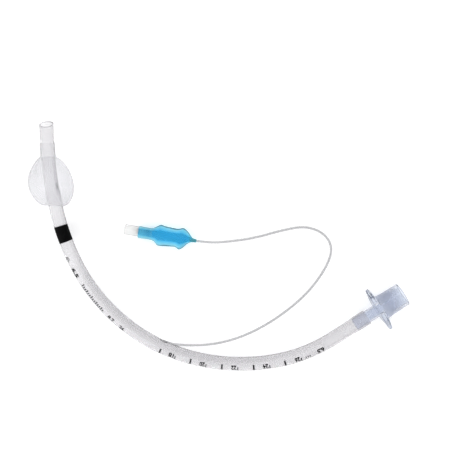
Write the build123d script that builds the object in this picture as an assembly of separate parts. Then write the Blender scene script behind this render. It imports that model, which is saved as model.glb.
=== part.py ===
from build123d import *
import math
import os

os.makedirs("parts", exist_ok=True)

# ------------------------------------------------------------------ driving dimensions (mm)
TUBE_OD = 8.7            # outside diameter of the shaft
TUBE_ID = 6.5            # bore of the shaft
LUMEN_D = 0.6            # inflation lumen inside the wall, on the inside of the curve
LUMEN_R = 3.8            # its distance from the shaft's axis

# centreline of the shaft: control points, from the patient end to the machine end.
# Every bend is an arc tangent to both of its runs.
SHAFT_PTS = [
    (-111.750, 65.123, 18.58),
    (-111.322, 36.564, 15.33),
    (-104.636, -2.061, 11.08),
    (-88.647, -37.852, 7.45),
    (-61.713, -66.333, 5.03),
    (-26.767, -84.093, 4.06),
    (12.122, -89.020, 5.60),
    (50.625, -81.665, 9.82),
]
AXIS_DEG = 32.4          # heading of the machine end in plan; it lies level
FLANGE_S = 54.33         # last control point to the middle of the connector's flange
FLARE_S = FLANGE_S - 22.6  # where the shaft starts to stretch over the nipple
TUBE_END_S = FLANGE_S - 9.0

# patient end
BEVEL_LEFT = 0.20        # slope of the bevel plane towards the outside of the curve
BEVEL_DOWN = 0.40        # slope of the bevel plane towards the lower side

# cuff: distance from the tip, outer radius
FILM = 0.25
CUFF_COLLAR_S0 = 13.4
CUFF_PROFILE = [
    (21.4, 4.62), (23.2, 5.55), (25.2, 7.45), (27.6, 9.75), (31.0, 12.35), (34.8, 13.85),
    (39.0, 14.25), (43.0, 13.75), (46.6, 12.85), (49.8, 11.35), (52.2, 9.3), (53.4, 7.6),
]
CUFF_RING_S = (43.6, 53.3)   # lower collar, turned in under the balloon
NOTCH_S = 40.6               # hole that joins the lumen to the cuff

# connector, along its own axis from the middle of the flange, + towards the free end
CONE_END = 18.0
CONE_R_END = 7.52
CONE_TAPER = 1.0 / 80.0      # radius per length, 1:40 on the diameter
CONE_ROOT = 6.0
CONE_R_ROOT = 8.3
CONN_BORE_R = 5.75
CONN_BORE_DEPTH = 13.5
NIPPLE_END = -18.0
FLANGE_T = 3.4           # at the hub; each wing thins towards its tip
FLANGE_TIP_T = 1.9
FLANGE_HUB = 7.0
FLANGE_R = 9.82
WING = 14.6
WING_TIP_R = 2.4

# pilot assembly, along its own axis from the valve's end face
PILOT_ORG = (-64.66, -1.97)
PILOT_DEG = -9.4
PILOT_SLOPE = 0.024
PILOT_Z0 = 3.81
HOUSING_R = 3.25
HOUSING_L = 17.6
LUER_R0 = 2.14
LUER_TAPER = 0.03
LUER_DEPTH = 4.8
LUER_RELIEF_R = 2.35
SEAT_U = (7.0, 8.2)
SEAT_R = 1.2
CHAMBER_R = 2.45
STEM_R = 0.8
TRAVEL = 1.2
NECK_R = 3.85
NECK_U = (9.2, 17.2)
BALLOON = [
    (16.8, 3.66, 3.65), (19.3, 4.75, 4.10), (22.0, 6.55, 4.30), (27.0, 6.25, 4.42),
    (32.0, 6.00, 4.42), (36.0, 6.70, 4.25), (38.4, 5.80, 3.80), (41.0, 3.35, 2.75), (43.4, 1.01, 1.0),
]
BALLOON_FILM = 0.3
LINE_NECK_U = (43.5, 46.5)

# inflation line
LINE_D = 1.6
LINE_ID = 0.7
# route of the line, from the notch in the shaft's wall to the pilot balloon's neck
LINE_PTS = [
    (-40.30, -72.95, 5.20),
    (-35.20, -75.00, 5.10),
    (-27.20, -75.90, 4.20),
    (-16.03, -76.27, 2.45),
    (-2.79, -74.86, 1.15),
    (11.94, -70.31, 0.82),
    (26.21, -63.12, 0.82),
    (39.67, -53.91, 0.82),
    (51.01, -44.05, 0.82),
    (59.25, -33.98, 0.82),
    (64.55, -25.36, 0.82),
    (67.71, -17.25, 0.82),
    (66.69, -9.62, 0.82),
    (60.48, -3.24, 0.82),
    (49.60, -0.05, 0.82),
    (34.62, -3.09, 0.82),
    (18.70, -7.61, 0.95),
    (3.20, -9.90, 1.90),
]
LINE_END_U = (54.0, 42.5)    # last two control points, on the pilot's axis

# placing of the whole object: middle of its outline in plan, lowest point at 0
SHIFT = (4.11, 13.58, 0.0)

# ------------------------------------------------------------------ helpers


def vec(p):
    return Vector(p[0] + SHIFT[0], p[1] + SHIFT[1], p[2] + SHIFT[2])


def arc_radii(pts, share):
    radii = []
    for a, b, c in zip(pts[:-2], pts[1:-1], pts[2:]):
        u, w = b - a, c - b
        half = math.radians(u.get_angle(w)) / 2
        radii.append(share * min(u.length, w.length) / math.tan(half))
    return radii


def round_path(pts, radii):
    """Straight runs joined by tangent arcs, as one wire."""
    return FilletPolyline(*pts, radius=radii)


def turn_profile(pts, plane):
    """Solid of revolution: pts are (distance along the axis, radius)."""
    face = make_face(Polyline(*[(r, u) for u, r in pts], close=True))
    solid = revolve(Plane.XZ * face, Axis.Z)
    return plane * solid


def one(shape):
    found = shape.solids()
    return found[0] if len(found) == 1 else Compound(children=list(found))


# ------------------------------------------------------------------ shaft
heading = math.radians(AXIS_DEG)
end_dir = Vector(math.cos(heading), math.sin(heading), 0)
shaft_pts = [vec(p) for p in SHAFT_PTS]
last = shaft_pts[-1]
shaft_pts.append(last + end_dir * FLARE_S)

shaft_radii = []
for i in range(1, len(shaft_pts) - 1):
    u = shaft_pts[i] - shaft_pts[i - 1]
    w = shaft_pts[i + 1] - shaft_pts[i]
    reach = 0.4985 * min(39.2, u.length * (2 if i == 1 else 1), w.length * (2 if i == len(shaft_pts) - 2 else 1))
    shaft_radii.append(reach / math.tan(math.radians(u.get_angle(w)) / 2))
shaft_path = round_path(shaft_pts, shaft_radii)
shaft_len = shaft_path.length
print("shaft arcs mm", [round(r, 1) for r in shaft_radii], "path", round(shaft_len, 1))

# normal of the plane in which the shaft curves at its patient end
bend_n = (shaft_pts[1] - shaft_pts[0]).cross(shaft_pts[4] - shaft_pts[0]).normalized()
if bend_n.Z < 0:
    bend_n = bend_n * -1


def at(s):
    """Plane across the shaft, s mm from the tip: x towards the inside of the curve."""
    pos = shaft_path.position_at(s, position_mode=PositionMode.LENGTH)
    tan = shaft_path.tangent_at(s, position_mode=PositionMode.LENGTH)
    x = bend_n.cross(tan).normalized()
    return Plane(origin=pos, x_dir=x, z_dir=tan)


tip_plane = at(0.0)
ring = Circle(TUBE_OD / 2) - Circle(TUBE_ID / 2) - Pos(LUMEN_R, 0) * Circle(LUMEN_D / 2)
shaft = sweep(tip_plane * ring, shaft_path)

# the lumen is closed between the tip and the cuff
plug = extrude(tip_plane * (Pos(LUMEN_R, 0) * Circle(LUMEN_D / 2 + 0.08)), CUFF_COLLAR_S0 - 0.6)
shaft = shaft + plug

# stretched end over the connector's nipple
flare_plane = Plane(origin=last + end_dir * FLARE_S, x_dir=Vector(0, 0, 1), z_dir=end_dir)
fl = TUBE_END_S - FLARE_S
flare = turn_profile([
    (0, TUBE_ID / 2), (0.8, 3.27), (2.4, 3.38), (4.0, 3.60), (5.4, 3.72), (fl, 3.86),
    (fl, 4.62), (fl - 0.25, 4.84), (fl - 1.2, 4.88), (7.2, 4.80), (5.4, 4.74), (4.2, 4.64), (3.0, 4.50), (1.8, 4.39), (0.8, 4.355), (0, TUBE_OD / 2),
], flare_plane)
shaft = shaft + flare

# bevel: everything beyond this plane is cut away
tp = tip_plane
# local axes of the tip plane: x inside of the curve, y across, z into the shaft
up_sign = 1.0 if tp.y_dir.Z > 0 else -1.0
# height of the remaining wall rises towards the inside of the curve and the upper side
n_local = Vector(BEVEL_LEFT, up_sign * BEVEL_DOWN, 1.0)
n_world = (tp.x_dir * n_local.X + tp.y_dir * n_local.Y + tp.z_dir * n_local.Z).normalized()
rise = TUBE_OD / 2 * math.hypot(BEVEL_LEFT, BEVEL_DOWN)
cut_plane = Plane(origin=tp.origin + tp.z_dir * rise, z_dir=n_world)
cutter = cut_plane * Pos(0, 0, -15) * Box(40, 40, 30)
shaft = shaft - cutter

# hole from the lumen into the cuff
n_at = at(NOTCH_S)
notch_plane = Plane(origin=n_at.origin + n_at.x_dir * (LUMEN_R - 0.15), x_dir=n_at.z_dir, z_dir=n_at.x_dir)
shaft = shaft - extrude(notch_plane * SlotOverall(2.6, 0.9), 2.0)

# ------------------------------------------------------------------ pilot axis
pd = math.radians(PILOT_DEG)
pilot_dir = Vector(math.cos(pd), math.sin(pd), PILOT_SLOPE).normalized()
pilot_org = vec((PILOT_ORG[0], PILOT_ORG[1], PILOT_Z0))
pilot_side = Vector(0, 0, 1).cross(pilot_dir).normalized()
pilot_plane = Plane(origin=pilot_org, x_dir=pilot_side, z_dir=pilot_dir)
print("pilot origin", pilot_org, "direction", pilot_dir)

# ------------------------------------------------------------------ inflation line
line_pts = [vec(p) for p in LINE_PTS] + [pilot_org + pilot_dir * u for u in LINE_END_U]
line_radii = arc_radii(line_pts, 0.45)
line_path = round_path(line_pts, line_radii)
line_dir = (line_pts[1] - line_pts[0]).normalized()
line_start = Plane(origin=line_pts[0], z_dir=line_dir)
inflation_line = sweep(line_start * (Circle(LINE_D / 2) - Circle(LINE_ID / 2)), line_path)
section = math.pi / 4 * (LINE_D ** 2 - LINE_ID ** 2)
print("line length mm", round(line_path.length, 2), "radii", [round(r, 1) for r in line_radii],
      "volume ratio", round(inflation_line.volume / (section * line_path.length), 5))

# the line is let into the shaft's wall
slot = extrude(line_start * Circle(LINE_D / 2), 12)
shaft = shaft - slot
tube_shaft = one(shaft)

# ------------------------------------------------------------------ cuff
def skin(profile, inset):
    rings = [at(s) * Circle(r - inset) for s, r in profile]
    return loft(rings)


cuff_outer = skin([(CUFF_COLLAR_S0, 4.60)] + CUFF_PROFILE[:1], 0) + skin(CUFF_PROFILE, 0)
inner_profile = [(s + (0.3 if i == 0 else 0), r) for i, (s, r) in enumerate(CUFF_PROFILE[:-1])] + [(53.15, CUFF_PROFILE[-1][1] + 0.1)]
cuff_inner = skin(inner_profile, FILM)
core = sweep(tip_plane * Circle(TUBE_OD / 2), shaft_path)
cuff = cuff_outer - cuff_inner
turned_in = skin([(CUFF_RING_S[0], 4.60), (48.5, 4.60), (CUFF_RING_S[1], 4.60)], 0)
cuff = (cuff + turned_in) - core
cuff = one(cuff)

# ------------------------------------------------------------------ connector
flange_c = last + end_dir * FLANGE_S
conn_plane = Plane(origin=flange_c, x_dir=Vector(0, 0, 1), z_dir=end_dir)
cone_r = lambda u: CONE_R_END + (CONE_END - u) * CONE_TAPER
body = turn_profile([
    (NIPPLE_END, 2.80), (NIPPLE_END, 3.35), (NIPPLE_END + 1.2, 3.55), (-9.0, 3.80), (-8.4, 4.00),
    (0.0, 4.05), (0.0, CONE_R_ROOT), (0.9, CONE_R_ROOT), (3.2, 7.95), (CONE_ROOT, cone_r(CONE_ROOT)),
    (CONE_END - 0.35, cone_r(CONE_END - 0.35)), (CONE_END, CONE_R_END - 0.35), (CONE_END, CONN_BORE_R + 0.2),
    (CONE_END - 0.3, CONN_BORE_R), (CONE_END - CONN_BORE_DEPTH, CONN_BORE_R), (1.6, 3.10), (0.4, 2.85),
], conn_plane)
wing_c = WING - WING_TIP_R
outline = make_hull((
    Circle(FLANGE_R).edges() + (Pos(wing_c, 0) * Circle(WING_TIP_R)).edges() + (Pos(-wing_c, 0) * Circle(WING_TIP_R)).edges()
))
# the wings lie along the horizontal across the axis
level = end_dir.cross(Vector(0, 0, 1)).normalized()
fl_base = Plane(origin=flange_c - end_dir * FLANGE_T / 2, x_dir=level, z_dir=end_dir)
plate = extrude(fl_base * outline, FLANGE_T)
side = Plane(origin=flange_c - Vector(0, 0, 12), x_dir=level, z_dir=Vector(0, 0, 1))
taper = make_face(Polyline(
    (-WING - 0.5, -FLANGE_TIP_T / 2), (-FLANGE_HUB, -FLANGE_T / 2 - 0.01), (FLANGE_HUB, -FLANGE_T / 2 - 0.01), (WING + 0.5, -FLANGE_TIP_T / 2),
    (WING + 0.5, FLANGE_TIP_T / 2), (FLANGE_HUB, FLANGE_T / 2 + 0.01), (-FLANGE_HUB, FLANGE_T / 2 + 0.01), (-WING - 0.5, FLANGE_TIP_T / 2), close=True))
plate = plate & extrude(side * taper, 24)
rim_edges = [e for e in plate.edges() if abs(e.tangent_at(0.5).dot(end_dir)) < 0.25 and (e.center() - flange_c).length > 8.0]
for size in (0.7, 0.5, 0.3):
    try:
        plate = fillet(rim_edges, size)
        print("flange rim rounded", size, len(rim_edges))
        break
    except Exception as err:
        print("flange rim not rounded at", size)
hole = turn_profile([(-3, 0), (3, 0), (3, 3.9), (-3, 3.9)], conn_plane)
connector = one((plate - hole) + body)

# ------------------------------------------------------------------ pilot balloon
def pouch(secs, inset):
    faces = [pilot_plane * Pos(0, 0, u) * Ellipse(w - inset, h - inset) for u, w, h in secs]
    return loft(faces)


pouch_outer = pouch(BALLOON, 0)
pouch_inner = pouch([(17.0, 2.91, 2.9)] + [(u, w - BALLOON_FILM, h - BALLOON_FILM) for u, w, h in BALLOON[1:-1]] + [(42.9, 0.62, 0.61)], 0)
neck = turn_profile([(NECK_U[0], 0), (NECK_U[0], NECK_R - 0.15), (NECK_U[0] + 0.2, NECK_R), (NECK_U[1] + 0.2, NECK_R), (NECK_U[1] + 0.2, 0)], pilot_plane)
small = turn_profile([(42.4, 0), (42.4, 1.32), (LINE_NECK_U[1] - 0.2, 1.18), (LINE_NECK_U[1], 1.0), (LINE_NECK_U[1], 0)], pilot_plane)
line_hole = turn_profile([(42.2, 0), (50, 0), (50, LINE_D / 2), (42.2, LINE_D / 2)], pilot_plane)
housing_hole = turn_profile([(5, 0), (HOUSING_L + 0.2, 0), (HOUSING_L + 0.2, HOUSING_R), (5, HOUSING_R)], pilot_plane)
pilot_balloon = one(pouch_outer + neck + small - pouch_inner - housing_hole - line_hole)

# ------------------------------------------------------------------ valve
valve_housing = one(turn_profile([
    (0.0, LUER_R0), (0.0, HOUSING_R - 0.55), (0.16, HOUSING_R - 0.25), (0.5, HOUSING_R), (HOUSING_L - 0.3, HOUSING_R), (HOUSING_L, HOUSING_R - 0.3),
    (HOUSING_L, CHAMBER_R), (SEAT_U[1], CHAMBER_R), (SEAT_U[1], SEAT_R), (SEAT_U[0], SEAT_R),
    (SEAT_U[0], LUER_RELIEF_R), (LUER_DEPTH, LUER_RELIEF_R), (LUER_DEPTH, LUER_R0 - LUER_DEPTH * LUER_TAPER),
], pilot_plane))
valve_core = one(turn_profile([
    (4.9, 0), (4.9, 0.6), (5.1, STEM_R), (9.2, STEM_R), (9.2, 1.9), (10.0, 1.9), (10.0, 0.7), (12.3, 0.7), (12.6, 0.45), (12.6, 0),
], pilot_plane))
valve_seal = one(turn_profile([(8.22, STEM_R), (8.22, 1.75), (8.5, 2.0), (9.2, 2.0), (9.2, STEM_R)], pilot_plane))
retainer = turn_profile([(14.25, 0.95), (14.25, CHAMBER_R), (16.4, CHAMBER_R), (16.4, 0.95)], pilot_plane)
for k in range(4):
    a = math.radians(45 + 90 * k)
    retainer = retainer - extrude(pilot_plane * Pos(1.72 * math.cos(a), 1.72 * math.sin(a), 14.0) * Circle(0.42), 3)
valve_retainer = one(retainer)
coil = Helix(pitch=0.86, height=3.9, radius=1.32)
wire = sweep(Plane(origin=coil.position_at(0), z_dir=coil.tangent_at(0)) * Circle(0.15), coil, is_frenet=True)
valve_spring = one(pilot_plane * Pos(0, 0, 10.17) * wire)

# ------------------------------------------------------------------ write
PARTS = {
    "tube_shaft": tube_shaft,
    "cuff": cuff,
    "connector": connector,
    "inflation_line": one(inflation_line),
    "pilot_balloon": pilot_balloon,
    "valve_housing": valve_housing,
    "valve_core": valve_core,
    "valve_seal": valve_seal,
    "valve_retainer": valve_retainer,
    "valve_spring": valve_spring,
}
for name, solid in PARTS.items():
    export_step(solid, "parts/" + name + ".step")
    bb = solid.bounding_box()
    print(name, "solids", len(solid.solids()), "vol", round(solid.volume, 1),
          "box", [round(v, 2) for v in (bb.min.X, bb.min.Y, bb.min.Z, bb.max.X, bb.max.Y, bb.max.Z)])
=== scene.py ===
import math

import bmesh
import bpy
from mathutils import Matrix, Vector, kdtree, noise


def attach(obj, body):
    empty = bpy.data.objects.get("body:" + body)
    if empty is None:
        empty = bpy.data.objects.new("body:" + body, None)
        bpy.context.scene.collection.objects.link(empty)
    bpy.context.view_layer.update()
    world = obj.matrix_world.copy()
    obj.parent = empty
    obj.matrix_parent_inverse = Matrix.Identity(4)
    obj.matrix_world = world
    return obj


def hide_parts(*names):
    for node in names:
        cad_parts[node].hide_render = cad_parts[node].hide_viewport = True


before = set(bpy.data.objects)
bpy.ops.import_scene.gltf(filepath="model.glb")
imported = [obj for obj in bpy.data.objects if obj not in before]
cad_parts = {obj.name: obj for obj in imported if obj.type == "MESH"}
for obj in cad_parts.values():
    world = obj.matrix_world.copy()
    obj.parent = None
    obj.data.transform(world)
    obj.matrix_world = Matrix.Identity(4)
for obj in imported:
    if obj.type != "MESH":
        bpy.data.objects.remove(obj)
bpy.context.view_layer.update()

ROOT = "airway_tube"
MM = 0.001
SHIFT = Vector((4.11, 13.58, 0.0))
scene = bpy.context.scene

# ------------------------------------------------------------------ camera
CAM_H = 600.0
ZR = 4.35
cam_data = bpy.data.cameras.new("camera")
cam_data.sensor_width = 36.0
cam_data.lens = 36.0 * CAM_H / (452 * 0.637)
cam_data.clip_start = 0.01
cam_data.clip_end = 10.0
cam = bpy.data.objects.new("camera", cam_data)
scene.collection.objects.link(cam)
cam.location = (SHIFT.x * MM, SHIFT.y * MM, (CAM_H + ZR) * MM)
cam.rotation_euler = (0, 0, 0)
scene.camera = cam


# ------------------------------------------------------------------ geometry of the shaft
def v3(p):
    return Vector(p) + SHIFT


class Arcs:
    """Straight runs joined by tangent arcs, measured along their length, in mm."""

    def __init__(self, pts, reach):
        self.parts = []
        self.length = 0.0
        here = pts[0]
        for k in range(1, len(pts) - 1):
            a, b, c = pts[k - 1], pts[k], pts[k + 1]
            u, w = (b - a).normalized(), (c - b).normalized()
            turn = u.angle(w)
            t = reach[k - 1]
            r = t / math.tan(turn / 2)
            start = b - u * t
            self._line(here, start)
            n = (w - u * u.dot(w)).normalized()
            self.parts.append(("arc", self.length, r * turn, start + n * r, u, n, r))
            self.length += r * turn
            here = b + w * t
        self._line(here, pts[-1])

    def _line(self, a, b):
        d = (b - a).length
        if d > 1e-9:
            self.parts.append(("line", self.length, d, a, (b - a).normalized(), None, None))
            self.length += d

    def at(self, s):
        part = self.parts[0]
        for p in self.parts:
            if s >= p[1]:
                part = p
        kind, s0, _, o, u, n, r = part
        if kind == "line":
            return o + u * (s - s0), u.copy()
        q = (s - s0) / r
        return o - n * (r * math.cos(q)) + u * (r * math.sin(q)), (u * math.cos(q) + n * math.sin(q)).normalized()


SHAFT = [v3(p) for p in [
    (-111.750, 65.123, 18.58), (-111.322, 36.564, 15.33), (-104.636, -2.061, 11.08), (-88.647, -37.852, 7.45),
    (-61.713, -66.333, 5.03), (-26.767, -84.093, 4.06), (12.122, -89.020, 5.60), (50.625, -81.665, 9.82),
]]
AXIS = Vector((math.cos(math.radians(32.4)), math.sin(math.radians(32.4)), 0))
FLANGE_S = 54.33
SHAFT.append(SHAFT[-1] + AXIS * (FLANGE_S - 9.0))
flare_at = SHAFT[-2] + AXIS * (FLANGE_S - 22.6)
reach = []
for i in range(1, len(SHAFT) - 1):
    l1 = (SHAFT[i] - SHAFT[i - 1]).length * (2 if i == 1 else 1)
    l2 = (SHAFT[i + 1] - SHAFT[i]).length * (2 if i == len(SHAFT) - 2 else 1)
    reach.append(0.4985 * min(39.2, l1, l2))
PATH = Arcs(SHAFT, reach)
FLARE = PATH.length - 13.6
BEND_N = (SHAFT[1] - SHAFT[0]).cross(SHAFT[4] - SHAFT[0]).normalized()
if BEND_N.z < 0:
    BEND_N = -BEND_N


def around(s, phi, r):
    """Point on the shaft: phi 0 faces the inside of the bend, 90 degrees faces up."""
    o, t = PATH.at(s)
    n = BEND_N.cross(t).normalized()
    b = t.cross(n)
    return o + n * (r * math.cos(phi)) + b * (r * math.sin(phi))


# ------------------------------------------------------------------ helpers
def mesh_object(name, verts, faces, smooth=True, mat=None):
    me = bpy.data.meshes.new(name)
    me.from_pydata([tuple(Vector(v) * MM) for v in verts], [], faces)
    me.validate()
    me.update()
    if smooth:
        me.polygons.foreach_set("use_smooth", [True] * len(me.polygons))
    ob = bpy.data.objects.new(name, me)
    scene.collection.objects.link(ob)
    if mat:
        me.materials.append(mat)
    return ob


def node_tree(name):
    m = bpy.data.materials.new(name)
    m.use_nodes = True
    nt = m.node_tree
    nt.nodes.clear()
    out = nt.nodes.new("ShaderNodeOutputMaterial")
    return m, nt, out


def add(nt, kind, **vals):
    n = nt.nodes.new(kind)
    for k, v in vals.items():
        if k.startswith("_"):
            setattr(n, k[1:], v)
        else:
            n.inputs[k.replace("__", " ")].default_value = v
    return n


def noise_bump(nt, scale, strength, distance, detail=3.0):
    co = nt.nodes.new("ShaderNodeTexCoord")
    tex = add(nt, "ShaderNodeTexNoise", Scale=scale, Detail=detail)
    nt.links.new(co.outputs["Object"], tex.inputs["Vector"])
    bump = add(nt, "ShaderNodeBump", Strength=strength, Distance=distance)
    nt.links.new(tex.outputs["Fac"], bump.inputs["Height"])
    return bump, tex


def dense_shaded_rim(nt, surface, colour, edge, start=0.64):
    """A wall is denser where it is seen edge on, and drawn darker there: partly real density, partly a painted shade
    outline.
    """
    rim = add(nt, "ShaderNodeLayerWeight", Blend=0.5)
    reach = add(nt, "ShaderNodeMapRange", _interpolation_type="SMOOTHSTEP")
    reach.inputs["From Min"].default_value = start
    reach.inputs["From Max"].default_value = 1.0
    reach.inputs["To Max"].default_value = edge
    nt.links.new(rim.outputs["Facing"], reach.inputs["Value"])
    dense = add(nt, "ShaderNodeBsdfPrincipled", Roughness=0.6, IOR=1.3)
    dense.inputs["Base Color"].default_value = (*colour, 1)
    dense.inputs["Specular IOR Level"].default_value = 0.1
    mix = nt.nodes.new("ShaderNodeMixShader")
    nt.links.new(reach.outputs[0], mix.inputs[0])
    nt.links.new(surface.outputs[0], mix.inputs[1])
    nt.links.new(dense.outputs[0], mix.inputs[2])
    return mix


def clear_plastic(name, colour, rough, ior, milk, milk_colour, bump=(900, 0.15, 0.00005), edge=0.0, least=None):
    """Clear soft plastic: refracting, a little milky, denser where its wall is seen edge on, where edge adds a painted
    shade outline.

    With least, the milkiness goes from that share of milk to the whole of it with the mesh's painted shade attribute,
    which paints shade in as extra milkiness.
    """
    m, nt, out = node_tree(name)
    b, tex = noise_bump(nt, bump[0], bump[1], bump[2])
    glass = add(nt, "ShaderNodeBsdfPrincipled", Roughness=rough, IOR=ior)
    glass.inputs["Base Color"].default_value = (*colour, 1)
    glass.inputs["Transmission Weight"].default_value = 1.0
    nt.links.new(b.outputs[0], glass.inputs["Normal"])
    body = add(nt, "ShaderNodeBsdfPrincipled", Roughness=0.3, IOR=ior)
    body.inputs["Base Color"].default_value = (*milk_colour, 1)
    nt.links.new(b.outputs[0], body.inputs["Normal"])
    amount = nt.nodes.new("ShaderNodeMapRange")
    amount.inputs["To Min"].default_value = milk * 0.92
    amount.inputs["To Max"].default_value = milk * 1.08
    nt.links.new(tex.outputs["Fac"], amount.inputs["Value"])
    if least is not None:
        veil = add(nt, "ShaderNodeAttribute", _attribute_name="veil")
        share = add(nt, "ShaderNodeMapRange")
        share.inputs["To Min"].default_value = least
        nt.links.new(veil.outputs["Fac"], share.inputs["Value"])
        whole = add(nt, "ShaderNodeMath", _operation="MULTIPLY")
        nt.links.new(amount.outputs[0], whole.inputs[0])
        nt.links.new(share.outputs[0], whole.inputs[1])
        amount = whole
    mix = nt.nodes.new("ShaderNodeMixShader")
    nt.links.new(amount.outputs[0], mix.inputs[0])
    nt.links.new(glass.outputs[0], mix.inputs[1])
    nt.links.new(body.outputs[0], mix.inputs[2])
    if edge:
        # painted shade outline: a darker milk colour where the wall is seen edge on
        mix = dense_shaded_rim(nt, mix, tuple(c * 0.40 for c in milk_colour), edge)
    pass_lamps(nt, mix, (0.955, 0.957, 0.962), out)
    return m


def translucent(nt, surface, colour_from, share, bump):
    """Let part of the light that falls on the far side of a thin wall come through it."""
    far = nt.nodes.new("ShaderNodeBsdfTranslucent")
    if isinstance(colour_from, tuple):
        far.inputs[0].default_value = (*colour_from, 1)
    else:
        nt.links.new(colour_from, far.inputs[0])
    nt.links.new(bump.outputs[0], far.inputs["Normal"])
    mix = nt.nodes.new("ShaderNodeMixShader")
    mix.inputs[0].default_value = share
    nt.links.new(surface.outputs[0], mix.inputs[1])
    nt.links.new(far.outputs[0], mix.inputs[2])
    return mix


def pass_lamps(nt, surface, tint, out):
    """Lamplight passes a thin clear wall almost whole."""
    lp = nt.nodes.new("ShaderNodeLightPath")
    tr = nt.nodes.new("ShaderNodeBsdfTransparent")
    tr.inputs[0].default_value = (*tint, 1)
    mix = nt.nodes.new("ShaderNodeMixShader")
    nt.links.new(lp.outputs["Is Shadow Ray"], mix.inputs[0])
    nt.links.new(surface.outputs[0], mix.inputs[1])
    nt.links.new(tr.outputs[0], mix.inputs[2])
    nt.links.new(mix.outputs[0], out.inputs[0])


def film(name, tint, body_colour, low, high, rough, bump, blend=0.35, through=0.4, lamp=(0.985, 0.985, 0.985), edge=0.0, rim=(0.70, 0.45)):
    """Thin film that doesn't bend light: clearer face on, denser at its edges, where edge adds a painted shade outline.
    """
    m, nt, out = node_tree(name)
    b, tex = noise_bump(nt, *bump)
    tr = nt.nodes.new("ShaderNodeBsdfTransparent")
    tr.inputs[0].default_value = (*tint, 1)
    body = add(nt, "ShaderNodeBsdfPrincipled", Roughness=rough, IOR=1.5)
    body.inputs["Base Color"].default_value = (*body_colour, 1)
    nt.links.new(b.outputs[0], body.inputs["Normal"])
    wall = translucent(nt, body, body_colour, through, b)
    lw = add(nt, "ShaderNodeLayerWeight", Blend=blend)
    mr = nt.nodes.new("ShaderNodeMapRange")
    mr.inputs["To Min"].default_value = low
    mr.inputs["To Max"].default_value = high
    nt.links.new(lw.outputs["Facing"], mr.inputs["Value"])
    mix = nt.nodes.new("ShaderNodeMixShader")
    nt.links.new(mr.outputs[0], mix.inputs[0])
    nt.links.new(tr.outputs[0], mix.inputs[1])
    nt.links.new(wall.outputs[0], mix.inputs[2])
    if edge:
        # painted shade outline: a darker body colour where the film is seen edge on
        mix = dense_shaded_rim(nt, mix, tuple(c * rim[1] for c in body_colour), edge, rim[0])
    pass_lamps(nt, mix, lamp, out)
    return m


def solid_plastic(name, colour, rough, trans=0.0, bump=(700, 0.1, 0.00005), coat=0.0):
    m, nt, out = node_tree(name)
    b, tex = noise_bump(nt, *bump)
    p = add(nt, "ShaderNodeBsdfPrincipled", Roughness=rough, IOR=1.5)
    p.inputs["Base Color"].default_value = (*colour, 1)
    p.inputs["Transmission Weight"].default_value = trans
    if coat:
        p.inputs["Coat Weight"].default_value = coat
    nt.links.new(b.outputs[0], p.inputs["Normal"])
    nt.links.new(p.outputs[0], out.inputs[0])
    return m


def dress(node, mat):
    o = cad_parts[node]
    if not o.data.materials:
        o.data.materials.append(mat)
    for s in o.material_slots:
        s.material = mat


# ------------------------------------------------------------------ inflation line
LINE = [
    (-40.30, -72.95, 5.20), (-35.20, -75.00, 5.10), (-27.20, -75.90, 4.20), (-16.03, -76.27, 2.45), (-2.79, -74.86, 1.15),
    (11.94, -70.31, 0.82), (26.21, -63.12, 0.82), (39.67, -53.91, 0.82), (51.01, -44.05, 0.82), (59.25, -33.98, 0.82),
    (64.55, -25.36, 0.82), (67.71, -17.25, 0.82), (66.69, -9.62, 0.82), (60.48, -3.24, 0.82), (49.60, -0.05, 0.82),
    (34.62, -3.09, 0.82), (18.70, -7.61, 0.95), (3.20, -9.90, 1.90),
]
PD = Vector((math.cos(math.radians(-9.4)), math.sin(math.radians(-9.4)), 0.024)).normalized()
PO = v3((-64.66, -1.97, 3.81))
PS = Vector((0, 0, 1)).cross(PD).normalized()
PU = PD.cross(PS)
line_pts = [v3(p) for p in LINE] + [PO + PD * 54.0, PO + PD * 42.5]
LINE_D = 1.6
cu = bpy.data.curves.new("inflation_tubing", "CURVE")
cu.dimensions = "3D"
cu.bevel_depth = 1.0  # each point's radius holds the line's own radius
cu.bevel_resolution = 6
cu.resolution_u = 24
cu.use_fill_caps = True
sp = cu.splines.new("NURBS")
sp.points.add(len(line_pts) - 1)
for q, p in zip(sp.points, line_pts):
    q.co = (p.x * MM, p.y * MM, p.z * MM, 1)
sp.order_u = 3
sp.use_endpoint_u = True
for pt in sp.points:
    pt.radius = LINE_D / 2 * MM
line_ob = bpy.data.objects.new("inflation_tubing", cu)
scene.collection.objects.link(line_ob)
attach(line_ob, ROOT)
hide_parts("inflation_line")


# ------------------------------------------------------------------ small tools for soft parts
def smooth_path(pts, step):
    """Points along a Catmull-Rom curve through pts, about step apart."""
    found = []
    for i in range(len(pts) - 1):
        p0, p1, p2, p3 = pts[max(i - 1, 0)], pts[i], pts[i + 1], pts[min(i + 2, len(pts) - 1)]
        n = max(2, int(math.dist(p1, p2) / step))
        for j in range(n):
            t = j / n
            found.append(tuple(
                0.5 * (2 * b + (c - a) * t + (2 * a - 5 * b + 4 * c - d) * t * t + (3 * b - a - 3 * c + d) * t ** 3)
                for a, b, c, d in zip(p0, p1, p2, p3)))
    found.append(tuple(pts[-1]))
    return found


def lerp_table(table, x):
    if x <= table[0][0]:
        return table[0][1]
    for (a, p), (b, q) in zip(table[:-1], table[1:]):
        if x <= b:
            t = (x - a) / (b - a)
            return p + (q - p) * t
    return table[-1][1]


def bell(x, mid, wide):
    return math.exp(-((x - mid) / wide) ** 2)


def solidify(ob, thick, offset):
    m = ob.modifiers.new("thickness", "SOLIDIFY")
    m.thickness = thick * MM
    m.offset = offset
    m.use_even_offset = True
    return m


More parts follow.
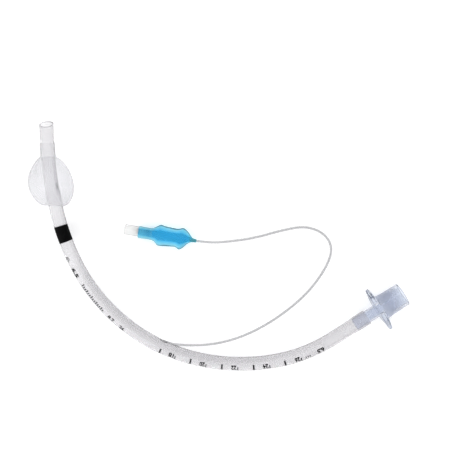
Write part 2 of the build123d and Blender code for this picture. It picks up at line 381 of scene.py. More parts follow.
def tube_faces(rings, segs):
    return [(i * segs + j, i * segs + (j + 1) % segs, (i + 1) * segs + (j + 1) % segs, (i + 1) * segs + j)
            for i in range(rings - 1) for j in range(segs)]


def set_attribute(ob, name, values):
    a = ob.data.attributes.new(name, "FLOAT", "POINT")
    a.data.foreach_set("value", values)


# ------------------------------------------------------------------ cuff
# distance from the tip and radius, on the outside and on the inside of the shaft's curve
CUFF_OUT = [
    (13.4, 4.58), (15.0, 4.60), (18.0, 4.60), (20.6, 4.62), (21.9, 5.10), (22.9, 6.45), (24.4, 7.95), (26.1, 9.45),
    (27.8, 10.80), (29.6, 11.85), (31.6, 12.95), (34.7, 13.75), (38.2, 14.15), (41.9, 13.65), (44.6, 12.75), (47.0, 11.55),
    (49.0, 10.20), (50.3, 8.80), (50.9, 7.40), (50.9, 6.10), (50.6, 5.10), (49.8, 4.66), (47.0, 4.60), (43.6, 4.60),
]
CUFF_IN = [
    (13.4, 4.58), (15.0, 4.60), (18.0, 4.60), (20.6, 4.62), (22.2, 5.05), (23.7, 6.55), (25.7, 8.45), (27.8, 10.05),
    (29.9, 11.20), (32.0, 12.15), (34.2, 12.80), (37.6, 13.35), (40.6, 13.55), (43.6, 13.35), (46.6, 12.70), (49.2, 11.60),
    (51.4, 10.20), (53.1, 8.60), (54.0, 6.95), (54.2, 5.75), (53.7, 5.00), (52.6, 4.66), (49.0, 4.60), (43.6, 4.60),
]
rows_of = [smooth_path([a + b for a, b in zip(CUFF_OUT, CUFF_IN)], 0.75)][0]
SEG = 128
verts = []
for s_out, r_out, s_in, r_in in rows_of:
    for j in range(SEG):
        phi = 2 * math.pi * j / SEG
        k = (1 + math.cos(phi)) / 2
        s, r = s_out + (s_in - s_out) * k, r_out + (r_in - r_out) * k
        q = noise.noise(Vector((math.cos(phi) * 1.3, math.sin(phi) * 1.3, s * 0.06)))
        pleat = math.sin(19 * phi + 1.7 * q + 0.4) * 0.6 + math.sin(31 * phi + 2.1) * 0.4
        body_r = max(0.0, min(1.0, (r - 4.65) / 2.5))
        fold = 0.14 * body_r * bell(s, 25.5, 2.4) + 0.17 * body_r * bell(s, 50.6 + 2.6 * k, 1.8)
        rise = 1.0 + 0.026 * body_r * math.sin(phi) ** 2
        verts.append(around(s, phi, r * rise + pleat * fold + 0.08 * body_r * q))
cuff_ob = mesh_object("cuff_balloon", verts, tube_faces(len(rows_of), SEG))
on_collar = [1 if max(rows_of[i // SEG][1], rows_of[i // SEG][3]) < 4.9 else 0 for i in range(len(cuff_ob.data.polygons))]
solidify(cuff_ob, 0.12, -1.0)
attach(cuff_ob, ROOT)
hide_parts("cuff")


# ------------------------------------------------------------------ pilot balloon
def pilot(u, v, z=0.0):
    """Point by the pilot's own axis: u from the valve's end face, v across it, z up from it."""
    return PO + PD * u + PS * v + PU * z


TOP = [(9.2, 3.50), (12.0, 3.45), (15.0, 3.43), (17.2, 3.50), (18.8, 4.15), (20.7, 5.43), (22.3, 6.50), (23.4, 6.52),
       (25.1, 6.16), (29.1, 5.84), (33.0, 5.74), (34.8, 6.05), (36.6, 6.76), (38.3, 6.38), (40.0, 5.15), (41.7, 3.60),
       (43.0, 2.10), (44.0, 1.45), (45.2, 1.15), (46.4, 0.98)]
LOW = [(9.2, 4.10), (13.0, 4.05), (16.9, 4.03), (18.4, 4.25), (19.8, 4.75), (21.0, 5.80), (22.1, 6.72), (24.1, 6.92),
       (27.9, 6.49), (31.0, 6.15), (33.6, 6.02), (35.2, 6.85), (36.4, 7.12), (37.4, 6.60), (38.7, 5.48), (40.8, 2.95),
       (42.2, 1.90), (43.2, 1.40), (44.5, 1.15), (46.4, 0.98)]
HIGH = [(9.2, 3.66), (16.8, 3.66), (19.3, 4.00), (22.0, 4.20), (27.0, 4.40), (32.0, 4.40), (36.0, 4.05), (38.4, 3.45),
        (41.0, 2.40), (43.0, 1.45), (44.5, 1.14), (46.4, 0.98)]
CREASES = [  # u, v from and to, depth, width
    (18.0, 2.4, 23.6, 4.9, -0.30, 0.7), (18.2, -2.6, 23.0, -5.0, -0.30, 0.8), (19.6, 0.4, 26.0, 1.4, -0.16, 0.6),
    (37.2, 5.0, 42.0, 0.7, -0.22, 0.6), (36.6, -5.4, 41.6, -0.6, -0.26, 0.7), (24.0, 3.6, 35.0, 3.2, 0.14, 1.3),
    (23.0, -4.4, 34.4, -3.9, 0.14, 1.3), (34.0, 1.0, 40.6, 0.2, 0.12, 0.6), (33.4, 4.9, 36.4, 3.4, -0.14, 0.6),
    (32.6, -5.0, 35.6, -3.2, -0.14, 0.6),
]


def crease(u, v):
    d = 0.0
    for u0, v0, u1, v1, depth, wide in CREASES:
        t = ((u - u0) * (u1 - u0) + (v - v0) * (v1 - v0)) / ((u1 - u0) ** 2 + (v1 - v0) ** 2)
        t = max(0.0, min(1.0, t))
        d += depth * bell(math.hypot(u - u0 - t * (u1 - u0), v - v0 - t * (v1 - v0)), 0, wide)
    return d


# half turns of the section: a narrow welded lip at each side of the film
half = [0.0, 3.0, 6.5] + [10.0 + 160.0 * i / 26 for i in range(27)] + [173.5, 177.0]
angles = [math.radians(a) for a in half] + [math.radians(180 + a) for a in half]
SEG = len(angles)
us = [9.2 + (46.4 - 9.2) * i / 110 for i in range(111)]
top_c, low_c, high_c = (smooth_path(t, 0.2) for t in (TOP, LOW, HIGH))
verts, side_w, along_w = [], [], []
for u in us:
    wt, wl, h = lerp_table(top_c, u), lerp_table(low_c, u), lerp_table(high_c, u)
    axis_z = PO.z + PD.z * u
    hl = min(h, axis_z - 0.03)
    lip = max(0.0, min(1.0, (u - 18.6) / 2.4)) * max(0.0, min(1.0, (42.6 - u) / 2.0))
    p = 1.0 + 0.10 * lip
    for a in angles:
        c, s_ = math.cos(a), math.sin(a)
        w = wt if c >= 0 else wl
        near = min(abs(math.degrees(a) % 180), 180 - abs(math.degrees(a) % 180))
        if near < 8:
            v = (w - 0.30 * lip * (near / 6.5 if near < 6.5 else 1.0)) * (1 if c >= 0 else -1) * abs(c)
            z = (h if s_ >= 0 else hl) * (abs(s_) ** p) * (1 if s_ >= 0 else -1)
            z = z * (1 - lip) + lip * 0.13 * (s_ / math.sin(math.radians(6.5)))
        else:
            v = (w - 0.30 * lip) * c
            z = (h if s_ >= 0 else hl) * (abs(s_) ** p) * (1 if s_ >= 0 else -1)
            z += crease(u, v) * lip * max(0.0, s_) ** 0.5
        verts.append(pilot(u, v, z))
        side_w.append(abs(c) ** 1.0 if w else 0)
        along_w.append(u)
balloon_ob = mesh_object("pilot_balloon_film", verts, tube_faces(len(us), SEG))
set_attribute(balloon_ob, "side", side_w)
set_attribute(balloon_ob, "along", along_w)
solidify(balloon_ob, 0.16, -1.0)
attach(balloon_ob, ROOT)
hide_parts("pilot_balloon")

# ------------------------------------------------------------------ prints on the shaft
SHELL_LOW, SHELL_HIGH = 4.353, 4.385


def ink_and_shade_patch(bm, s0, s1, p0, p1, lean=0.0):
    """Rectangle that follows the shaft's wall, for print ink and for painted shade, from s0 to s1 and p0 to p1 degrees.
    """
    ns, np_ = max(1, int(abs(s1 - s0) / 0.6)), max(2, int(abs(p1 - p0) / 5))
    grids = []
    for r in (SHELL_LOW, SHELL_HIGH):
        grids.append([[bm.verts.new(around(s0 + (s1 - s0) * i / ns + lean * (j / np_ - 0.5), math.radians(p0 + (p1 - p0) * j / np_), r) * MM)
                       for j in range(np_ + 1)] for i in range(ns + 1)])
    low, high = grids
    for i in range(ns):
        for j in range(np_):
            bm.faces.new((high[i][j], high[i + 1][j], high[i + 1][j + 1], high[i][j + 1]))
            bm.faces.new((low[i][j], low[i][j + 1], low[i + 1][j + 1], low[i + 1][j]))
    rim = [(i, 0) for i in range(ns)] + [(ns, j) for j in range(np_)] + [(i, np_) for i in range(ns, 0, -1)] + [(0, j) for j in range(np_, 0, -1)]
    for (a, b), (c, d) in zip(rim, rim[1:] + rim[:1]):
        bm.faces.new((low[a][b], low[c][d], high[c][d], high[a][b]))


def glyph_polys(text, wide, tall, weight=0.0):
    """Triangles of plain numerals, sliced fine enough to follow the wall."""
    fc = bpy.data.curves.new("numeral", "FONT")
    fc.body = text
    fc.size = 10
    fc.offset = weight
    fc.resolution_u = 3
    fo = bpy.data.objects.new("numeral", fc)
    scene.collection.objects.link(fo)
    me = bpy.data.meshes.new_from_object(fo.evaluated_get(bpy.context.evaluated_depsgraph_get()))
    bpy.data.objects.remove(fo)
    bpy.data.curves.remove(fc)
    xs, ys = [v.co.x for v in me.vertices], [v.co.y for v in me.vertices]
    kx, ky = wide / (max(xs) - min(xs)), tall / (max(ys) - min(ys))
    mx, my = (max(xs) + min(xs)) / 2, (max(ys) + min(ys)) / 2
    bm = bmesh.new()
    bm.from_mesh(me)
    bpy.data.meshes.remove(me)
    for v in bm.verts:
        v.co = Vector(((v.co.x - mx) * kx, (v.co.y - my) * ky, 0))
    bmesh.ops.remove_doubles(bm, verts=bm.verts, dist=0.001)
    y = -tall / 2 + 0.35
    while y < tall / 2:
        geom = bm.verts[:] + bm.edges[:] + bm.faces[:]
        bmesh.ops.bisect_plane(bm, geom=geom, plane_co=(0, y, 0), plane_no=(0, 1, 0))
        y += 0.35
    return bm


def ink_numeral(out, text, wide, tall, s_mid, p_mid, flip, weight=0.0):
    src = glyph_polys(text, wide, tall, weight)
    sign = -1 if flip else 1
    rows = {}
    for v in src.verts:
        s, phi = s_mid + sign * v.co.x, math.radians(p_mid) - sign * v.co.y / 4.37
        rows[v] = (out.verts.new(around(s, phi, SHELL_LOW) * MM), out.verts.new(around(s, phi, SHELL_HIGH) * MM))
    for f in src.faces:
        loop = list(f.verts)
        if f.normal.z < 0:
            loop.reverse()
        out.faces.new([rows[v][1] for v in loop])
        out.faces.new([rows[v][0] for v in reversed(loop)])
    for e in src.edges:
        if len(e.link_faces) == 1:
            a, b = e.verts
            out.faces.new((rows[a][0], rows[b][0], rows[b][1], rows[a][1]))
    src.free()


def ink_and_shade_ring(bm, s_mid, p_mid, ra, rb, squash=1.0, n=28):
    """Ring on the wall, for print ink and for painted shade rims: ra, rb inner and outer radius in mm on the wall."""
    lows, highs = [], []
    for i in range(n):
        t = 2 * math.pi * i / n
        for r in (ra, rb):
            s, phi = s_mid + r * math.cos(t) * squash, math.radians(p_mid) - r * math.sin(t) / 4.37
            lows.append(bm.verts.new(around(s, phi, SHELL_LOW) * MM))
            highs.append(bm.verts.new(around(s, phi, SHELL_HIGH) * MM))
    for i in range(n):
        a, b, c, d = 2 * i, 2 * i + 1, (2 * i + 3) % (2 * n), (2 * i + 2) % (2 * n)
        bm.faces.new((highs[a], highs[b], highs[c], highs[d]))
        bm.faces.new((lows[d], lows[c], lows[b], lows[a]))
        bm.faces.new((lows[b], lows[c], highs[c], highs[b]))
        bm.faces.new((lows[d], lows[a], highs[a], highs[d]))


def ink_and_shade_object(name, bm, mat):
    bmesh.ops.recalc_face_normals(bm, faces=bm.faces)
    me = bpy.data.meshes.new(name)
    bm.to_mesh(me)
    bm.free()
    ob = bpy.data.objects.new(name, me)
    scene.collection.objects.link(ob)
    me.materials.append(mat)
    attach(ob, ROOT)
    return ob


def ink_and_shade_material(name, colour, rough, patchy, clear, shine=0.12):
    """Printed ink, and painted shade marks drawn the same way: nearly opaque, thinner in small patches."""
    m, nt, out = node_tree(name)
    co = nt.nodes.new("ShaderNodeTexCoord")
    tex = add(nt, "ShaderNodeTexNoise", Scale=patchy, Detail=4.0)
    nt.links.new(co.outputs["Object"], tex.inputs["Vector"])
    ramp = nt.nodes.new("ShaderNodeValToRGB")
    ramp.color_ramp.elements[0].position = 0.35
    ramp.color_ramp.elements[0].color = (*[c * 0.8 for c in colour], 1)
    ramp.color_ramp.elements[1].position = 0.7
    ramp.color_ramp.elements[1].color = (*[min(1, c * 1.8 + 0.001) for c in colour], 1)
    nt.links.new(tex.outputs["Fac"], ramp.inputs[0])
    p = add(nt, "ShaderNodeBsdfPrincipled", Roughness=rough)
    p.inputs["Specular IOR Level"].default_value = shine
    nt.links.new(ramp.outputs[0], p.inputs["Base Color"])
    bump = add(nt, "ShaderNodeBump", Strength=0.2, Distance=0.00003)
    nt.links.new(tex.outputs["Fac"], bump.inputs["Height"])
    nt.links.new(bump.outputs[0], p.inputs["Normal"])
    if clear > 0:
        tr = nt.nodes.new("ShaderNodeBsdfTransparent")
        mr = nt.nodes.new("ShaderNodeMapRange")
        mr.inputs["From Min"].default_value = 0.3
        mr.inputs["From Max"].default_value = 0.75
        mr.inputs["To Min"].default_value = 0.0
        mr.inputs["To Max"].default_value = clear
        nt.links.new(tex.outputs["Fac"], mr.inputs["Value"])
        mix = nt.nodes.new("ShaderNodeMixShader")
        nt.links.new(mr.outputs[0], mix.inputs[0])
        nt.links.new(p.outputs[0], mix.inputs[1])
        nt.links.new(tr.outputs[0], mix.inputs[2])
        nt.links.new(mix.outputs[0], out.inputs[0])
    else:
        pass_lamps(nt, p, (0.90, 0.90, 0.90), out)
    return m


ink = ink_and_shade_material("print_ink", (0.006, 0.006, 0.007), 0.75, 2600, 0.0)
ink_soft = ink_and_shade_material("print_ink_thin", (0.012, 0.012, 0.014), 0.75, 2600, 0.22)
band_ink = ink_and_shade_material("band_ink", (0.0022, 0.0022, 0.0024), 0.60, 900, 0.0, 0.04)

# the black band, all the way round
bm = bmesh.new()
n_s, n_p = 16, 72
rows = {}
for r in (4.352, 4.392):
    for i in range(n_s + 1):
        for j in range(n_p):
            rr = r if 0 < i < n_s else min(r, 4.375)
            rows[r, i, j] = bm.verts.new(around(66.0 + 10.55 * i / n_s, 2 * math.pi * j / n_p, rr) * MM)
for i in range(n_s):
    for j in range(n_p):
        k = (j + 1) % n_p
        bm.faces.new((rows[4.392, i, j], rows[4.392, i + 1, j], rows[4.392, i + 1, k], rows[4.392, i, k]))
        bm.faces.new((rows[4.352, i, j], rows[4.352, i, k], rows[4.352, i + 1, k], rows[4.352, i + 1, j]))
for i in (0, n_s):
    for j in range(n_p):
        k = (j + 1) % n_p
        bm.faces.new((rows[4.352, i, j], rows[4.352, i, k], rows[4.392, i, k], rows[4.392, i, j]))
band_ob = ink_and_shade_object("black_band", bm, band_ink)
for poly in band_ob.data.polygons:
    poly.use_smooth = True

# depth scale: a long tick each odd centimetre, a numeral and a short tick each even one
bm = bmesh.new()
for s, top in ((169.2, 96), (189.3, 88), (209.3, 87), (229.3, 88), (249.1, 90)):
    ink_and_shade_patch(bm, s - 0.54, s + 0.54, top, 149)
for s in (179.3, 199.3, 219.3, 239.3, 259.3):
    ink_and_shade_patch(bm, s - 0.32, s + 0.32, 106, 146)
for text, s in (("18", 176.6), ("20", 196.8), ("22", 216.8), ("24", 236.8), ("26", 256.9)):
    ink_numeral(bm, text, 3.4, 3.6, s, 115, True, 0.42)
ink_and_shade_object("depth_scale", bm, ink)

# size numbers and plain marks
bm = bmesh.new()
ink_numeral(bm, "6.5", 6.6, 2.9, 96.6, 124, False, 0.55)
ink_and_shade_ring(bm, 87.0, 130, 1.00, 1.45, 1.0)
ink_and_shade_ring(bm, 87.0, 130, 0.15, 0.58, 1.0)
ink_numeral(bm, "6.5", 4.7, 3.3, 272.2, 116, True, 0.55)
ink_and_shade_object("size_numbers", bm, ink)
bm = bmesh.new()
ink_numeral(bm, "8.7", 5.0, 2.8, 132.6, 126, False, 0.45)
ink_numeral(bm, "26", 3.6, 3.0, 141.4, 128, False, 0.38)
for i in range(14):
    s = 105.6 + i * 1.52
    ink_and_shade_patch(bm, s - 0.36, s + 0.36, 106 if i % 3 == 0 else 114, 144)
for i in range(3):
    s = 262.3 + i * 1.3
    ink_and_shade_patch(bm, s - 0.28, s + 0.28, 110, 134)
ink_and_shade_object("fine_marks", bm, ink_soft)

# painted shade: a dark ring round the cut where the inflation line is let into the wall
start = line_pts[0]
near = min(range(0, int(PATH.length * 2)), key=lambda k: (PATH.at(0.5 * k)[0] - start).length_squared)
o, t = PATH.at(0.5 * near)
n = BEND_N.cross(t).normalized()
joint_phi = math.degrees(math.atan2((start - o).dot(t.cross(n)), (start - o).dot(n)))
bm = bmesh.new()
ink_and_shade_ring(bm, 0.5 * near + 0.6, joint_phi + 14, 0.62, 0.98, 2.7)
ink_and_shade_object("line_cut_shade_rim", bm, ink_and_shade_material("line_cut_shade", (0.055, 0.052, 0.056), 0.5, 1800, 0.5))

# painted shade: the lumen's dark line, seen through the wall from the cuff's lower collar to the band, and its notch
# inside the cuff, drawn as dark shells
LUMEN_SHADE = [(13.0, 0.20), (15.0, 0.30), (24.0, 0.26), (36.0, 0.30), (40.0, 0.34), (44.0, 0.30), (56.0, 0.24), (64.0, 0.16)]
shade_rows = [13.0 + 0.5 * i for i in range(103)]
verts = []
for s in shade_rows:
    o, t = PATH.at(s)
    n = BEND_N.cross(t).normalized()
    b = t.cross(n)
    thick = min(0.27, lerp_table(LUMEN_SHADE, s))
    for j in range(12):
        a = 2 * math.pi * j / 12
        verts.append(o + n * (3.8 + thick * math.cos(a)) + b * (thick * math.sin(a)))
lumen_ob = mesh_object("lumen_shade", verts, tube_faces(len(shade_rows), 12))
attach(lumen_ob, ROOT)
lumen_ob.data.materials.append(ink_and_shade_material("lumen_shade", (0.115, 0.112, 0.118), 0.6, 900, 0.30))
bm = bmesh.new()
ink_and_shade_ring(bm, 40.9, 26, 0.05, 0.78, 1.9)
ink_and_shade_object("lumen_notch_shade_rim", bm, ink_and_shade_material("lumen_notch_shade", (0.10, 0.098, 0.103), 0.6, 1800, 0.55))
# painted shade: grey film patches on the wall over the lumen, darkest round the notch
bm = bmesh.new()
ink_and_shade_patch(bm, 23.0, 39.0, 20, 46)
ink_and_shade_patch(bm, 39.0, 46.5, 14, 50)
ink_and_shade_object("lumen_shade_haze", bm, film("lumen_shade_haze", (0.99, 0.99, 0.99), (0.28, 0.28, 0.295), 0.17, 0.21, 0.6, (900, 0.1, 0.00004)))
bm = bmesh.new()
ink_and_shade_patch(bm, 38.8, 43.4, 20, 46)
ink_and_shade_object("lumen_notch_shade_haze", bm, film("lumen_notch_shade_haze", (0.99, 0.99, 0.99), (0.18, 0.18, 0.19), 0.29, 0.33, 0.6, (900, 0.1, 0.00004)))

# ------------------------------------------------------------------ materials
def blue_film():
    """Translucent blue film: deeper where it lies flat over the valve, with a painted highlight along its inflated
    sides and painted shade at its weld.
    """
    m, nt, out = node_tree("blue_film")
    b, tex = noise_bump(nt, 420, 0.35, 0.00012, 5.0)
    side = add(nt, "ShaderNodeAttribute", _attribute_name="side")
    along = add(nt, "ShaderNodeAttribute", _attribute_name="along")
    # colour across the width: deep blue in the middle, a light painted highlight near the sides, painted dark teal
    # shade at the weld
    ramp = nt.nodes.new("ShaderNodeValToRGB")
    els = ramp.color_ramp.elements
    stops = [(0.0, (0.036, 0.430, 0.690)), (0.44, (0.046, 0.465, 0.720)), (0.66, (0.340, 0.760, 0.930)),
             (0.87, (0.560, 0.880, 0.940)), (0.96, (0.230, 0.500, 0.560)), (1.0, (0.080, 0.240, 0.280))]
    els[0].position, els[0].color = stops[0][0], (*stops[0][1], 1)
    els[1].position, els[1].color = stops[-1][0], (*stops[-1][1], 1)
    for pos, col in stops[1:-1]:
        e = els.new(pos)
        e.color = (*col, 1)
    wob = add(nt, "ShaderNodeTexNoise", Scale=160.0, Detail=3.0)
    co = nt.nodes.new("ShaderNodeTexCoord")
    nt.links.new(co.outputs["Object"], wob.inputs["Vector"])
    mulw = add(nt, "ShaderNodeMath", _operation="MULTIPLY_ADD")
    mulw.inputs[1].default_value = 0.16
    mulw.inputs[2].default_value = -0.08
    nt.links.new(wob.outputs["Fac"], mulw.inputs[0])
    addw = add(nt, "ShaderNodeMath", _operation="ADD")
    nt.links.new(side.outputs["Fac"], addw.inputs[0])
    nt.links.new(mulw.outputs[0], addw.inputs[1])
    nt.links.new(addw.outputs[0], ramp.inputs[0])
    # the small neck at the line is greener and denser
    neck = add(nt, "ShaderNodeMapRange")
    neck.inputs["From Min"].default_value = 41.0
    neck.inputs["From Max"].default_value = 44.0
    nt.links.new(along.outputs["Fac"], neck.inputs["Value"])
    green = nt.nodes.new("ShaderNodeMix")
    green.data_type = "RGBA"
    green.inputs[7].default_value = (0.09, 0.42, 0.46, 1)
    nt.links.new(neck.outputs[0], green.inputs[0])
    nt.links.new(ramp.outputs[0], green.inputs[6])
    body = add(nt, "ShaderNodeBsdfPrincipled", Roughness=0.22, IOR=1.5)
    nt.links.new(green.outputs[2], body.inputs["Base Color"])
    nt.links.new(b.outputs[0], body.inputs["Normal"])
    tr = nt.nodes.new("ShaderNodeBsdfTransparent")
    tr.inputs[0].default_value = (0.62, 0.91, 0.955, 1)
    lw = add(nt, "ShaderNodeLayerWeight", Blend=0.45)
    mr = nt.nodes.new("ShaderNodeMapRange")
    mr.inputs["To Min"].default_value = 0.34
    mr.inputs["To Max"].default_value = 0.80
    nt.links.new(lw.outputs["Facing"], mr.inputs["Value"])
    mix = nt.nodes.new("ShaderNodeMixShader")
    wall = translucent(nt, body, green.outputs[2], 0.45, b)
    nt.links.new(mr.outputs[0], mix.inputs[0])
    nt.links.new(tr.outputs[0], mix.inputs[1])
    nt.links.new(wall.outputs[0], mix.inputs[2])
    # painted shade outline: dark teal where the film is seen edge on
    mix = dense_shaded_rim(nt, mix, (0.035, 0.165, 0.20), 0.50, 0.80)
    pass_lamps(nt, mix, (0.93, 0.975, 0.99), out)
    return m


def wire_metal():
    m, nt, out = node_tree("spring_wire")
    b, tex = noise_bump(nt, 3000, 0.15, 0.00002)
    p = add(nt, "ShaderNodeBsdfPrincipled", Roughness=0.28, Metallic=1.0)
    p.inputs["Base Color"].default_value = (0.62, 0.62, 0.64, 1)
    nt.links.new(b.outputs[0], p.inputs["Normal"])
    nt.links.new(p.outputs[0], out.inputs[0])
    return m


# the shaft: clear wall outside, milkier bore, and a grey line along the lumen, drawn as painted shade
shaft_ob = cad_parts["tube_shaft"]
dress("tube_shaft", clear_plastic("clear_pvc", (0.940, 0.936, 0.942), 0.04, 1.36, 0.08, (0.54, 0.532, 0.542), edge=0.75, least=0.5))
shaft_ob.data.materials.append(clear_plastic("clear_pvc_bore", (0.962, 0.957, 0.964), 0.10, 1.18, 0.40, (0.50, 0.492, 0.506), (420, 0.12, 0.00006), edge=0.22, least=0.36))
shaft_ob.data.materials.append(clear_plastic("clear_pvc_lumen", (0.80, 0.79, 0.80), 0.15, 1.20, 0.55, (0.34, 0.33, 0.34)))
stations = [PATH.at(0.5 * i)[0] for i in range(int(PATH.length / 0.5) + 1)]

index = []
tree = kdtree.KDTree(len(stations))
for i, p in enumerate(stations):
    tree.insert(p, i)
tree.balance()
for poly in shaft_ob.data.polygons:
    c = poly.center / MM
    i = tree.find(c)[1]
    o, t = PATH.at(0.5 * i)
    d = c - o
    d -= t * d.dot(t)
    n = BEND_N.cross(t).normalized()
    kind = 0
    if 0.5 * i < FLARE and d.length < 3.36:
        kind = 1
    elif 0.5 * i < FLARE and (d - n * 3.8).length < 0.42:
        kind = 2 if 0.5 * i < 42.6 else 1
    elif 0.5 * i >= FLARE and d.length < 3.95:
        kind = 1
    index.append(kind)
shaft_ob.data.polygons.foreach_set("material_index", index)
shaft_ob.data.update()

# painted shade: the wall is drawn milkier and greyer towards the inside of the curve, in place of the shade that falls
# there: where that begins, and how strongly, along the shaft
SHADE_FROM = [(0, 2.9), (60, 2.4), (82, 2.2), (104, 0.0), (118, -0.6), (200, -0.6), (243, -0.4), (262, -0.2), (300, 0.0)]
SHADE_DEPTH = [(0, 0.45), (30, 0.45), (60, 0.65), (82, 0.75), (104, 0.92), (200, 0.95), (232, 0.88), (250, 0.72), (268, 0.60), (300, 0.48)]
SHADE_BASE = [(0, 0.28), (30, 0.20), (62, 0.12), (82, 0.10), (118, 0.12), (232, 0.28), (268, 0.50), (300, 0.42)]
veil = []
for v in shaft_ob.data.vertices:
    c = v.co / MM
    i = tree.find(c)[1]
    o, t = PATH.at(0.5 * i)
    across = (c - o).dot(BEND_N.cross(t).normalized())
    q = 1 / (1 + math.exp(-(across - lerp_table(SHADE_FROM, 0.5 * i)) / 0.28))
    base = lerp_table(SHADE_BASE, 0.5 * i)
    veil.append(base + (lerp_table(SHADE_DEPTH, 0.5 * i) - base) * q)
set_attribute(shaft_ob, "veil", veil)

dress("connector", clear_plastic("connector_plastic", (0.860, 0.89, 0.935), 0.08, 1.42, 0.74, (0.425, 0.465, 0.585), (500, 0.12, 0.00005), edge=0.22, least=0.10))
conn_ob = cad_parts["connector"]
# painted shade and painted highlight: the connector is drawn milkier and darker towards its flange and to one side,
# with a clearer painted highlight streak, through the attribute set below
mid = Vector((76.38, -54.35, 9.82))
along = Vector((0.8443, 0.5358, 0.0)).normalized()
across = Vector((along.y, -along.x, 0.0))
reach_u = max((v.co / MM - mid).dot(along) for v in conn_ob.data.vertices)
veil = []
for v in conn_ob.data.vertices:
    d = v.co / MM - mid
    u = reach_u - d.dot(along)
    w = d.dot(across)
    if u > 16.2:
        k = 0.04 if abs(w) > 7.2 else 0.18
    else:
        k = 0.02 + 0.98 * max(0.0, min(1.0, (u - 0.5) / 12.5)) ** 1.2
        k *= 0.80 - 0.035 * w
        k *= 1 - 0.75 * bell(w, -2.4, 0.55)
    veil.append(max(0.0, min(1.0, k)))
set_attribute(conn_ob, "veil", veil)
dress("valve_housing", film("valve_plastic", (0.985, 0.985, 0.985), (0.92, 0.92, 0.915), 0.42, 0.66, 0.35, (700, 0.1, 0.00005), 0.30, edge=0.85, rim=(0.42, 0.24)))
# the retainer is deep blue, so the balloon's neck shows darker over it
dress("valve_retainer", solid_plastic("retainer_plastic", (0.10, 0.34, 0.60), 0.4, 0.0))
dress("valve_core", solid_plastic("core_plastic", (0.92, 0.92, 0.92), 0.45))
dress("valve_seal", solid_plastic("seal_rubber", (0.05, 0.05, 0.055), 0.6, 0.0, (1500, 0.3, 0.00005)))
dress("valve_spring", wire_metal())
cuff_ob.data.materials.append(film("cuff_film", (0.992, 0.992, 0.994), (0.800, 0.800, 0.815), 0.23, 0.44, 0.25, (380, 0.25, 0.0001, 4.0), 0.30, edge=0.45))
cuff_ob.data.materials.append(film("cuff_collar_film", (0.994, 0.994, 0.995), (0.800, 0.800, 0.815), 0.03, 0.22, 0.25, (380, 0.12, 0.00005, 4.0), 0.25, edge=0.55, rim=(0.62, 0.34)))
cuff_ob.data.polygons.foreach_set("material_index", on_collar)
cuff_ob.data.update()
balloon_ob.data.materials.append(blue_film())
cu.materials.append(film("line_pvc", (0.970, 0.970, 0.973), (0.47, 0.47, 0.48), 0.50, 0.16, 0.25, (1200, 0.08, 0.00003), 0.5))

# ------------------------------------------------------------------ floor, light
floor_me = bpy.data.meshes.new("floor")
floor_me.from_pydata([(-1.6, -1.6, -0.00003), (1.6, -1.6, -0.00003), (1.6, 1.6, -0.00003), (-1.6, 1.6, -0.00003)], [], [(0, 1, 2, 3)])
floor = bpy.data.objects.new("floor", floor_me)
scene.collection.objects.link(floor)
fm, nt, out = node_tree("floor_pale")
b, tex = noise_bump(nt, 60, 0.05, 0.0001)
p = add(nt, "ShaderNodeBsdfPrincipled", Roughness=0.9)
p.inputs["Base Color"].default_value = (0.93, 0.93, 0.93, 1)
p.inputs["Specular IOR Level"].default_value = 0.1
p.inputs["Emission Color"].default_value = (1, 1, 1, 1)
p.inputs["Emission Strength"].default_value = 0.26
nt.links.new(b.outputs[0], p.inputs["Normal"])
nt.links.new(p.outputs[0], out.inputs[0])
floor_me.materials.append(fm)

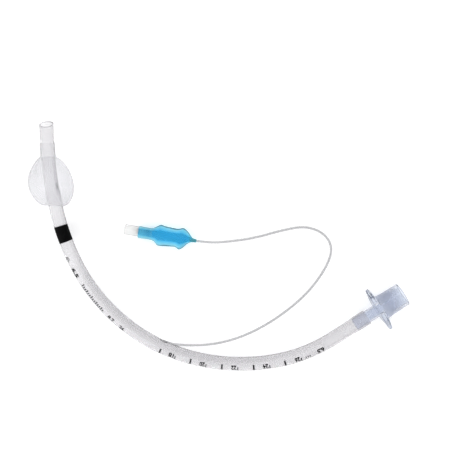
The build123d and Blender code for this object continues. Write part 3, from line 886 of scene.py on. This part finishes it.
world = bpy.data.worlds.new("studio")
scene.world = world
world.use_nodes = True
wt = world.node_tree
wt.nodes.clear()
wo = wt.nodes.new("ShaderNodeOutputWorld")
bg = wt.nodes.new("ShaderNodeBackground")
tc = wt.nodes.new("ShaderNodeTexCoord")
sep = wt.nodes.new("ShaderNodeSeparateXYZ")
wr = wt.nodes.new("ShaderNodeValToRGB")
wt.links.new(tc.outputs["Generated"], sep.inputs[0])
wt.links.new(sep.outputs["Z"], wr.inputs[0])
wr.color_ramp.elements[0].position = 0.0
wr.color_ramp.elements[0].color = (0.30, 0.30, 0.31, 1)
wr.color_ramp.elements[1].position = 1.0
wr.color_ramp.elements[1].color = (1.0, 1.0, 1.0, 1)
e = wr.color_ramp.elements.new(0.22)
e.color = (0.46, 0.46, 0.47, 1)
e = wr.color_ramp.elements.new(0.60)
e.color = (0.90, 0.90, 0.905, 1)
# a wide low panel on the side that the shaft's curve bulges towards
low_dir = add(wt, "ShaderNodeVectorMath", _operation="DOT_PRODUCT")
low_dir.inputs[1].default_value = (-0.66, -0.75, 0.0)
wt.links.new(tc.outputs["Generated"], low_dir.inputs[0])
reach_r = add(wt, "ShaderNodeMapRange", _interpolation_type="SMOOTHSTEP")
reach_r.inputs["From Min"].default_value = 0.35
reach_r.inputs["From Max"].default_value = 0.80
wt.links.new(low_dir.outputs["Value"], reach_r.inputs["Value"])
high_r = add(wt, "ShaderNodeMapRange", _interpolation_type="SMOOTHSTEP")
high_r.inputs["From Min"].default_value = 0.50
high_r.inputs["From Max"].default_value = 0.20
wt.links.new(sep.outputs["Z"], high_r.inputs["Value"])
panel = add(wt, "ShaderNodeMath", _operation="MULTIPLY")
wt.links.new(reach_r.outputs[0], panel.inputs[0])
wt.links.new(high_r.outputs[0], panel.inputs[1])
gain = add(wt, "ShaderNodeMath", _operation="MULTIPLY_ADD")
gain.inputs[1].default_value = 3.4
gain.inputs[2].default_value = 0.78
wt.links.new(panel.outputs[0], gain.inputs[0])
wt.links.new(wr.outputs[0], bg.inputs[0])
wt.links.new(gain.outputs[0], bg.inputs[1])
wt.links.new(bg.outputs[0], wo.inputs[0])


def softbox(name, where, size, watts):
    ld = bpy.data.lights.new(name, "AREA")
    ld.shape = "RECTANGLE"
    ld.size, ld.size_y = size
    ld.energy = watts
    lo = bpy.data.objects.new(name, ld)
    scene.collection.objects.link(lo)
    lo.location = where
    lo.rotation_euler = (-Vector(where)).to_track_quat("-Z", "Y").to_euler()
    lo.visible_camera = False
    return lo


softbox("key", (-0.75, -0.45, 0.95), (0.9, 1.0), 3.6)
softbox("fill", (0.7, 0.6, 1.1), (0.9, 0.9), 2.0)

scene.view_settings.view_transform = "Standard"
scene.view_settings.look = "None"
scene.cycles.max_bounces = 24
scene.cycles.transmission_bounces = 24
scene.cycles.transparent_max_bounces = 32
